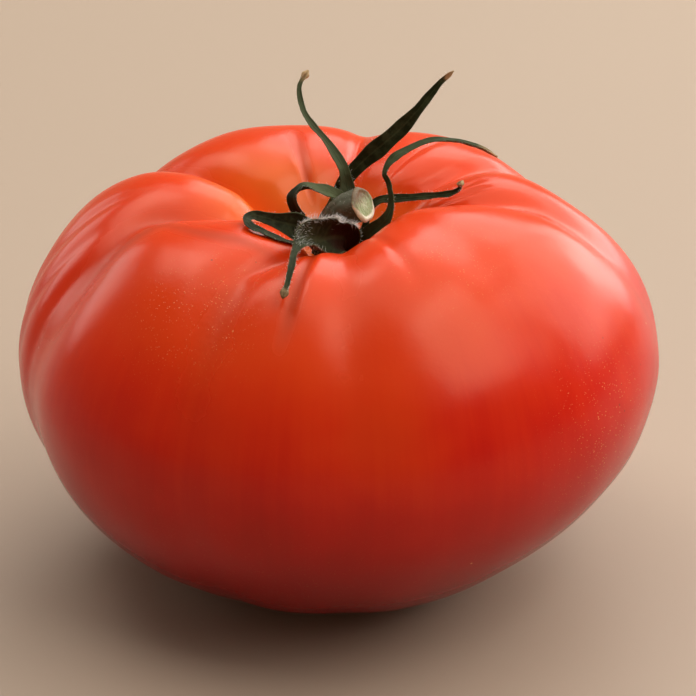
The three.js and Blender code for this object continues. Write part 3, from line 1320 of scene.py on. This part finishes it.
@dataclass
class Stalk:
    """The stalk's stump with its spread foot, its cut end and its down. In mm from the calyx's seat.

    ridge is how far the bark's ridges stand out and lobe how far the foot's lobes do, as shares of the
    radius. plate is how thick the cut end's plate is.
    """

    setting: Setting
    route: tuple = ((-0.4, 0.4, -0.6), (-0.4, 0.3, 2.4), (-0.1, 0, 5), (1.2, -0.9, 7), (3.5, -2, 8.3))
    radii: tuple = (3.0, 2.6, 2.3, 2.15, 2.2, 2.35)
    ridge: float = 0.02
    lobe: float = 0.16
    uneven_grain: float = 0.9
    uneven_depth: float = 0.09
    plate: float = 0.25
    rings: int = 72
    sides: int = 72
    down: Down = Down(420, 0.35, 0.014, start=0.1)

    def frames(self, places: np.ndarray) -> tuple[np.ndarray, np.ndarray, np.ndarray, np.ndarray]:
        """The stalk's middle line and its directions.

        Args:
            places: Shares of the way from foot to cut end.

        Returns:
            Points on the line, and the directions right, front and along at each.
        """
        ahead = unit(spline(self.route, places + 0.004) - spline(self.route, places - 0.004))
        right = unit(np.cross(np.array([[0, 1.0, 0]]), ahead))
        return spline(self.route, places), right, np.cross(right, ahead), ahead

    def angles(self) -> np.ndarray:
        """Angles of the sides, in one row."""
        return np.linspace(0, math.tau, self.sides, endpoint=False)[None, :]

    def build(self, rng: np.random.Generator) -> list[bpy.types.Object]:
        """Makes the bark, the cut end and the down.

        Args:
            rng: Seeded random numbers.

        Returns:
            The pieces.
        """
        places = np.linspace(0, 1, self.rings)
        middle, right, front, ahead = self.frames(places)
        angle = self.angles()
        radius = keyed(self.radii, places)[:, None]
        ridges = self.ridge * np.cos(angle * 5 + places[:, None] * 2) + 0.2 * self.ridge * np.cos(angle * 13)
        lobes = self.lobe * np.cos(angle * 7 + 0.5) * (1 - smooth(places, 0.0, 0.28))[:, None]
        spoke = spokes(right, front, angle)
        points = middle[:, None] + spoke * (radius * (1 + ridges + lobes))[..., None]
        uneven = rough(points, self.uneven_grain, seed=8.1) * self.uneven_depth
        points = points + spoke * uneven[..., None]
        return [self.bark(points, middle, places), self.cut_end(), self.hairs(points, spoke, ahead, rng)]

    def bark(self, points: np.ndarray, middle: np.ndarray, places: np.ndarray) -> bpy.types.Object:
        """The bar of bark, closed at its foot and under the cut end.

        Args:
            points: The bark's points, ring by ring.
            middle: The stalk's middle line.
            places: Share of the way up of each ring.

        Returns:
            The bark.
        """
        count = self.rings * self.sides
        faces = list(grid_faces(self.rings, self.sides, True))
        faces += fan(count, 0, self.sides, flipped=True) + fan(count + 1, count - self.sides, self.sides)
        corners = np.vstack([points.reshape(-1, 3), middle[0], middle[-1]])
        values = {
            "along": np.concatenate([np.repeat(places, self.sides), [0.0, 1.0]]),
            "around": np.concatenate([np.tile(self.angles()[0], self.rings), [0.0, 0.0]]),
        }
        made = make_object("stalk_bark", self.setting.calyx(corners), faces, StalkFinish().material(), values)
        return fit(made, Slot.STALK, "stalk")

    def cut_end(self, rings: int = 16) -> bpy.types.Object:
        """The cut end: a thin plate with a raised rim and a sunken, fibrous middle.

        Args:
            rings: How many rings of points each side of the plate has.

        Returns:
            The plate.
        """
        middle, right, front, ahead = (row[0] for row in self.frames(np.array([1.0])))
        ring = np.linspace(0, 1, rings + 1)[1:, None]
        angle = self.angles()
        edge = self.radii[-1] * (1.05 + 0.03 * np.cos(angle * 5 + 2) + 0.015 * np.cos(angle * 9))
        flat = middle + spokes(right, front, angle) * (ring * edge)[..., None]
        raised = 0.14 * bell(ring - 0.84, 0.12) - 0.22 * smooth(ring, 0.9, 1.0)
        face = flat + ahead * (0.16 + raised + 0.05 * rough(flat, 0.35, seed=2.2))[..., None]
        back = flat - ahead * self.plate
        front_side = [face.reshape(-1, 3), middle + ahead * 0.14]
        back_side = [back.reshape(-1, 3), middle - ahead * self.plate]
        half = rings * self.sides + 1
        outer = (rings - 1) * self.sides
        faces = list(grid_faces(rings, self.sides, True)[:, ::-1])
        faces += list(grid_faces(rings, self.sides, True, half))
        faces += fan(half - 1, 0, self.sides) + fan(2 * half - 1, half, self.sides, flipped=True)
        for side in range(self.sides):
            here, following = outer + side, outer + (side + 1) % self.sides
            faces.append((half + here, half + following, following, here))
        height = (face[..., 2] - middle[2]) / self.radii[-1]
        place = np.concatenate([np.repeat(ring, self.sides), [0.0]])
        upper = np.concatenate([np.clip(height * 0.5 + 0.5, 0, 1).ravel(), [0.5]])
        values = {"ring": np.tile(place, 2), "upper": np.tile(upper, 2)}
        metres = self.setting.calyx(np.vstack(front_side + back_side))
        made = make_object("stalk_cut_end", metres, faces, CutFinish().material(), values)
        return fit(made, Slot.STALK)

    def hairs(
        self, points: np.ndarray, spoke: np.ndarray, ahead: np.ndarray, rng: np.random.Generator
    ) -> bpy.types.Object:
        """Short hairs all over the bark.

        Args:
            points: The bark's points, ring by ring.
            spoke: Directions away from the middle line at them.
            ahead: Direction along the stalk at each ring.
            rng: Seeded random numbers.

        Returns:
            The hairs.
        """
        row = self.down.rows(self.rings, rng)
        side = rng.integers(0, self.sides, self.down.count)
        ways = spoke[row, side] + ahead[row] * 0.35
        spikes = self.down.spikes(points[row, side], ways, rng)
        return grow_hairs("stalk_down", spikes, self.setting, Slot.STALK)


# ---------------------------------------------------------------- the sepals


@dataclass
class Sepal:
    """One sepal: a thin leaf bent along its route. Lengths in mm from the calyx's seat.

    route holds x, y, height and width from foot to tip. looks are the ways that the inner face looks, and
    curl is the half angle, in degrees, that the leaf's section is rolled by towards its inner face; both are
    spread evenly from foot to tip. knob is how many times thicker the shrivelled tip is. As shares of the
    half width, wobble is how unevenly the edges run, wave how high they ruffle and rib how deep the midrib
    lies.
    """

    name: str
    route: tuple
    looks: tuple
    curl: tuple
    downs: tuple
    finish: LeafFinish
    knob: float = 0.0
    thickness: float = 0.3
    least_width: float = 0.3
    wobble: float = 0.07
    wave: float = 0.05
    rib: float = 0.1
    rows: int = 150
    columns: int = 17

    def full_route(self) -> np.ndarray:
        """The route with a root added that reaches back into the stalk's foot.

        Returns:
            Its rows.
        """
        route = np.asarray(self.route, float)
        foot = route[0]
        root = np.array([foot[0] * 0.62, foot[1] * 0.62, foot[2] - 1.5, foot[3] * 1.25])
        return np.vstack([root, route])

    def half_width(self, width: np.ndarray, places: np.ndarray) -> np.ndarray:
        """Half the leaf's width, with uneven edges and a narrow tip.

        Args:
            width: The drawn width at each place.
            places: Shares of the way from foot to tip.

        Returns:
            The half width at each place.
        """
        half = np.maximum(width, self.least_width) / 2
        half = half * (1 + self.wobble * np.sin(places * 37 + len(self.name)) * smooth(places, 0.1, 0.3))
        return half * (1 - 0.75 * smooth(places, 0.965, 1.0))

    def surface(self, places: np.ndarray, across: np.ndarray) -> tuple[np.ndarray, np.ndarray, np.ndarray]:
        """The leaf's middle surface.

        Args:
            places: Shares of the way from foot to tip.
            across: From -1 at one edge to 1 at the other.

        Returns:
            Points, the directions that the inner face looks at them, and the directions across the leaf.
        """
        route = self.full_route()
        read = spline(route, places)
        ahead = unit(spline(route[:, :3], places + 0.003) - spline(route[:, :3], places - 0.003))
        side = unit(np.cross(keyed(self.looks, places), ahead))
        inner = np.cross(ahead, side)
        half = self.half_width(read[:, 3], places)
        curl = np.radians(keyed(self.curl, places)) + 1e-3
        angle = across[None, :] * curl[:, None]
        bow = (half / curl)[:, None]
        edge = (np.abs(across) ** 3)[None, :]
        ruffle = np.sin(places * 46 + 2.1 * len(self.name))[:, None] * np.sign(across)[None, :] * 0.5 + 0.5
        ruffled = self.wave * half[:, None] * edge * ruffle
        rise = bow * (1 - np.cos(angle)) + ruffled - self.rib * half[:, None] * bell(across, 0.14)[None, :]
        sideways = side[:, None] * (bow * np.sin(angle))[..., None]
        points = read[:, None, :3] + sideways + inner[:, None] * rise[..., None]
        tilt = np.cos(angle)[..., None] * inner[:, None] - np.sin(angle)[..., None] * side[:, None]
        flat = np.cos(angle)[..., None] * side[:, None] + np.sin(angle)[..., None] * inner[:, None]
        return points, tilt, flat

    def build(self, setting: Setting, rng: np.random.Generator) -> list[bpy.types.Object]:
        """Makes the leaf and its hairs.

        Args:
            setting: Where the drawing lies in the frame.
            rng: Seeded random numbers.

        Returns:
            The pieces.
        """
        places = np.linspace(0, 1, self.rows)
        across = np.linspace(-1, 1, self.columns)
        points, tilt, flat = self.surface(places, across)
        body = 1 - 0.6 * across[None, :] ** 2 + 0.7 * bell(across, 0.16)[None, :]
        swollen = 1 - 0.35 * places + self.knob * bell(places - 0.97, 0.025)
        thick = self.thickness * body * swollen[:, None]
        wrinkle = rough(points, 0.8, seed=4.4) * 0.07 + rough(points, 2.4, seed=9.2) * 0.08
        upper = points + tilt * (thick * 0.35 + wrinkle)[..., None]
        lower = points - tilt * (thick * 0.65 - wrinkle)[..., None]
        corners = np.vstack([upper.reshape(-1, 3), lower.reshape(-1, 3)])
        values = {
            "inside": np.repeat([1.0, 0.0], self.rows * self.columns),
            "along": np.tile(np.repeat(places, self.columns), 2),
            "across": np.tile(np.tile(across, self.rows), 2),
        }
        faces = sheet_faces(self.rows, self.columns)
        leaf = make_object(self.name + "_leaf", setting.calyx(corners), faces, self.finish.material(), values)
        fit(leaf, Slot.SEPAL, self.name)
        return [leaf, self.hairs(points, tilt, flat, setting, rng)]

    def hairs(
        self,
        points: np.ndarray,
        tilt: np.ndarray,
        flat: np.ndarray,
        setting: Setting,
        rng: np.random.Generator,
    ) -> bpy.types.Object:
        """Hairs on the edges and on the faces.

        Args:
            points: Points of the leaf's middle surface.
            tilt: Directions that the inner face looks at them.
            flat: Directions across the leaf at them.
            setting: Where the drawing lies in the frame.
            rng: Seeded random numbers.

        Returns:
            The hairs.
        """
        spikes = []
        for down in self.downs:
            row = down.rows(self.rows, rng)
            if down.where in (Where.INNER_FACE, Where.OUTER_FACE):
                column = rng.integers(0, self.columns, down.count)
                away = np.zeros((down.count, 1))
                off_face = 1.0 if down.where is Where.INNER_FACE else -1.0
            else:
                one_side = down.where is Where.LEFT_EDGE
                side = np.full(down.count, -1) if one_side else rng.choice([-1, 1], down.count)
                column = np.where(side < 0, 0, self.columns - 1)
                away = side[:, None].astype(float)
                off_face = -0.4
            ways = flat[row, column] * away + tilt[row, column] * off_face
            roots = points[row, column] + tilt[row, column] * (self.thickness * 0.2 * np.sign(off_face))
            spikes.append(down.spikes(roots, ways, rng))
        return grow_hairs(self.name + "_down", np.vstack(spikes), setting, Slot.SEPAL)


def sepals() -> tuple[Sepal, ...]:
    """The seven sepals of the calyx.

    Returns:
        The sepals, from the front one round by the left.
    """
    fine = (Down(150, 0.4, 0.015), Down(110, 0.35, 0.015, Where.OUTER_FACE))
    mane = (
        Down(340, 0.9, 0.022, Where.LEFT_EDGE, 0.24, 0.6, 0.5),
        Down(60, 0.5, 0.018, Where.BOTH_EDGES, 0.12, 0.26, 0.4),
        Down(320, 0.6, 0.02, Where.OUTER_FACE, 0.3, 0.66, 0.5),
        Down(150, 0.55, 0.018, Where.INNER_FACE, 0.5, 0.66, 0.5),
        Down(130, 0.4, 0.018, Where.BOTH_EDGES, 0.62, 0.96, 0.4),
    )
    return (
        Sepal(
            "sepal_front",
            (
                (1, -3.7, 2.6, 2.6), (0.9, -5.2, 4.6, 5.2), (-0.3, -7, 5.7, 6.2), (-1.9, -9.5, 6.6, 6.8),
                (-3.5, -13, 8.2, 6.9), (-4.8, -17.3, 10.1, 3.7), (-5.7, -21.3, 10.3, 1.2),
                (-6.1, -24.8, 9.6, 0.9), (-6.6, -27.7, 8.5, 0.7), (-7.1, -29.6, 7.6, 0.9),
            ),
            (
                (0.2, -0.95, -0.1), (0.5, -0.8, 0.1), (0.6, -0.7, 0.3), (0.7, -0.5, 0.4), (0.6, -0.2, 0.8),
                (0.3, -0.4, 0.9), (0, -0.6, 0.8),
            ),
            (80, 90, 90, 85, 70, 50, 50, 120),
            mane,
            # The front sepal's hood gets painted shade and a painted red reflection on its inner face.
            LeafFinish("leaf_front", dry=(0.24, 0.15, 0.07), reflected_red_shading=0.9),
            knob=2.0,
        ),
        Sepal(
            "sepal_front_left",
            (
                (-3.1, -2.5, 2.7, 2), (-3.6, -3.8, 4.6, 3), (-4.7, -5.1, 6, 3.8), (-6.3, -6.3, 7.2, 3.6),
                (-8.2, -7.6, 8.3, 2.6), (-9.9, -8.8, 9.4, 1.6), (-11.4, -10, 10.3, 1.3),
                (-12.2, -11.8, 10.6, 1.2), (-11.6, -13.6, 10.3, 1.3), (-10.2, -14.3, 9.9, 1.5),
                (-8.6, -14.4, 9.1, 1.5), (-7.2, -14.2, 8.4, 1.4), (-6, -13.6, 7.7, 1.3),
                (-4.5, -13.3, 7.2, 1),
            ),
            ((0.3, -0.9, 0.2), (0.3, -0.9, 0.3), (0.4, -0.8, 0.5), (0.2, 0, 1), (0, 0, 1)),
            (35, 40, 35, 30, 30, 50),
            fine,
            # Its inner face is painted darker than the other sepals', as painted shade.
            LeafFinish("leaf_front_left", inner=(0.008, 0.010, 0.004), dried=0.0),
        ),
        Sepal(
            "sepal_left",
            (
                (-2.1, 3.9, 2.8, 1.6), (-0.8, 3.7, 5.3, 1.8), (0, 3.5, 6.9, 1.9), (-0.8, 2.8, 7.9, 1.9),
                (-2.5, 1.9, 8.8, 1.9), (-4.1, 0.7, 9.7, 1.9), (-5.4, -0.4, 9.9, 2.2), (-6, -1.2, 9, 2.7),
                (-5.6, -1.5, 7.6, 2.7), (-4.6, -1.6, 6.2, 2.2),
            ),
            ((0, -1, 0.2), (0, -0.7, 0.6), (-0.2, -0.5, 0.8), (-0.9, -0.4, 0.2), (-0.6, -0.8, -0.2)),
            (25, 30, 25, 30, 40),
            fine,
            # Its inner face is painted lighter, as painted light, and the half towards its tip darker, as
            # painted shade.
            LeafFinish("leaf_left", inner=(0.085, 0.098, 0.045), dried=0.0, shaded_tail=1.0),
        ),
        Sepal(
            "sepal_back_left",
            (
                (1.6, 3.9, 2.6, 1.6), (1.7, 4.5, 5.6, 1.9), (1.3, 4.9, 8, 2), (0.7, 5.6, 10.6, 1.6),
                (-1.4, 9, 12.8, 1.1), (-3.8, 13, 14.2, 0.9), (-5.1, 16, 15.6, 0.9), (-5.4, 18, 17.7, 0.9),
                (-4.2, 20, 19.2, 1.1),
            ),
            ((0, -1, 0.2), (0, -0.8, 0.5), (0.2, -1, 0.4)),
            (25, 35, 45, 60, 130),
            fine,
            # Its inner face is painted lighter, as painted light.
            LeafFinish("leaf_back_left", inner=(0.075, 0.088, 0.042)),
            knob=2.0,
        ),
        Sepal(
            "sepal_back",
            (
                (-0.8, 5.2, 2.8, 1.5), (-0.1, 6.3, 5.9, 1.7), (1.4, 7.1, 8.4, 2), (4, 7.3, 11.2, 2.4),
                (6.3, 7.3, 13.3, 2.6), (8.7, 7.8, 15.4, 2.2), (11, 8, 18, 1.6), (12.8, 8.5, 20.2, 1.1),
                (14.4, 9, 22, 0.8), (16, 9, 23.5, 0.6),
            ),
            ((0, -1, 0.2), (-0.2, -1, 0.1), (-0.2, -1, 0.2)),
            (20, 20, 18, 25, 45),
            fine,
            LeafFinish("leaf_back"),
        ),
        Sepal(
            "sepal_right",
            (
                (3.7, 2, 2.7, 1.4), (4.5, 2, 5.6, 1.4), (5.8, 1.7, 7.2, 1.4), (8.6, 1.5, 7.6, 1.3),
                (11, 1, 8, 1.2), (13.3, 0.6, 8.4, 1.1), (15.6, 0.2, 8.9, 1), (16.8, 0.1, 9.7, 0.9),
                (16.8, 0, 10.8, 0.9),
            ),
            ((-1, -0.3, 0.2), (-0.2, -0.6, 0.8), (0, -0.6, 0.8), (-0.4, -0.6, 0.6)),
            (30, 35, 40, 60, 130),
            fine,
            LeafFinish("leaf_right"),
            knob=2.2,
        ),
        Sepal(
            "sepal_front_right",
            (
                (3.4, -2.7, 2.6, 3), (4.8, -3.4, 4.7, 2.6), (6.4, -3.8, 6.5, 1.9), (7.2, -3.8, 8, 1.4),
                (7.4, -3.1, 9.8, 1.2), (7, -2, 11.6, 1), (6.4, -1.5, 12.7, 0.8), (7.2, -0.5, 14, 1.2),
                (8.7, 0.6, 14.8, 1.3), (11.7, 2.6, 15.5, 1.2), (14.3, 3.6, 15.5, 1.2), (17.1, 4.5, 14.8, 1.1),
                (19.7, 5, 13.7, 1), (22.1, 5.1, 12.3, 0.7),
            ),
            ((0, -0.6, 0.8), (-0.5, -0.8, 0.2), (-0.8, -0.5, 0.2), (-0.4, -0.7, 0.6), (0, 0, 1), (0.1, 0, 1)),
            (30, 30, 45, 30, 25, 30, 60),
            fine,
            LeafFinish("leaf_front_right", inner=(0.030, 0.038, 0.014)),
        ),
    )


# ---------------------------------------------------------------- the studio


@dataclass(frozen=True)
class Lamp:
    """A square soft white lamp that looks at the object. Metres, degrees and watts."""

    name: str
    azimuth: float
    elevation: float
    distance: float
    size: float
    power: float

    def build(self, target: Vector) -> None:
        """Hangs the lamp; azimuth 0 is on +X and 90 on +Y.

        Args:
            target: The point that it looks at.
        """
        data = bpy.data.lights.new(self.name, "AREA")
        data.shape = "SQUARE"
        data.size = self.size
        data.energy = self.power
        lamp = bpy.data.objects.new(self.name, data)
        turn, lift = math.radians(self.azimuth), math.radians(self.elevation)
        away = Vector((math.cos(turn) * math.cos(lift), math.sin(turn) * math.cos(lift), math.sin(lift)))
        lamp.location = target + away * self.distance
        lamp.rotation_mode = "QUATERNION"
        lamp.rotation_quaternion = away.to_track_quat("Z", "Y")
        lamp.visible_camera = False
        bpy.context.scene.collection.objects.link(lamp)


@dataclass
class Studio:
    """Plain pale floor, soft lamps, a dim room with a pale horizon, and the camera.

    middle, aim and distance are in mm on the drawing: the fruit's middle, what the camera looks at and how
    far it stands from the middle. lens is in mm too. near, far and floor_size are in metres, and near and far
    are where the camera's view starts and ends.
    """

    setting: Setting
    elevation: float = 27.0
    distance: float = 450.0
    lens: float = 165.0
    middle: tuple = (0.0, 0.0, 30.0)
    aim: tuple = (1.41, 1.0, 32.0)
    near: float = 0.01
    far: float = 30.0
    floor_size: float = 8.0
    horizon: Colour = (0.34, 0.245, 0.165)
    ceiling: Colour = (0.12, 0.12, 0.12)
    lamps: tuple = (
        Lamp("overhead_softbox", 70, 78, 2.0, 2.4, 28.0),
        Lamp("right_window", 28, 27, 0.9, 0.62, 3.0),
        Lamp("right_softbox", -26, 48, 0.9, 0.62, 3.2),
        Lamp("right_edge_window", 52, 11, 0.9, 0.36, 1.3),
        Lamp("back_window", 70, 38, 0.9, 0.5, 2.0),
        Lamp("back_left_softbox", 142, 56, 0.9, 0.42, 1.2),
        Lamp("left_window", 138, 16, 0.9, 0.4, 0.75),
    )

    def build(self) -> None:
        """Makes the floor, the world, the lamps and the camera."""
        self.floor()
        self.world()
        for lamp in self.lamps:
            lamp.build(Vector(self.middle) * self.setting.scale)
        self.camera()
        bpy.context.scene.view_settings.view_transform = "Standard"

    def floor(self) -> None:
        """A wide level floor under the fruit."""
        half = self.floor_size / 2
        corners = np.array([(-half, -half, 0), (half, -half, 0), (half, half, 0), (-half, half, 0)], float)
        floor = make_object("studio_floor", corners, [(0, 1, 2, 3)], FloorFinish(self.horizon).material(), {})

    def world(self) -> None:
        """A room that is pale at the horizon and dim above."""
        world = bpy.data.worlds.new("studio_room")
        bpy.context.scene.world = world
        g = Graph(world)
        height = g.height(g.node("ShaderNodeTexCoord", output="Generated"))
        colour = g.mix(height.step(0.12, 0.5), self.horizon, self.ceiling)
        background = g.node("ShaderNodeBackground", {}, {"Color": colour, "Strength": 1.0})
        g.node("ShaderNodeOutputWorld", {}, {"Surface": background})

    def camera(self) -> None:
        """The camera, level from side to side, looking down at the fruit from the front."""
        scale = self.setting.scale
        lift = math.radians(self.elevation)
        back = Vector((0, -math.cos(lift), math.sin(lift)))
        data = bpy.data.cameras.new("camera")
        data.lens = self.lens
        data.clip_start, data.clip_end = self.near, self.far
        camera = bpy.data.objects.new("camera", data)
        camera.location = (Vector(self.middle) + back * self.distance) * scale
        camera.rotation_mode = "QUATERNION"
        camera.rotation_quaternion = (camera.location - Vector(self.aim) * scale).to_track_quat("Z", "Y")
        bpy.context.scene.collection.objects.link(camera)
        bpy.context.scene.camera = camera


def main() -> None:
    logging.basicConfig(level=logging.INFO, format="%(message)s")
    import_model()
    setting = Setting.from_frame()
    rng = np.random.default_rng(HAIR_SEED)
    Studio(setting).build()
    Fruit(setting).build(SkinFinish())
    Stalk(setting).build(rng)
    for sepal in sepals():
        sepal.build(setting, rng)


if __name__ == "__main__":
    main()
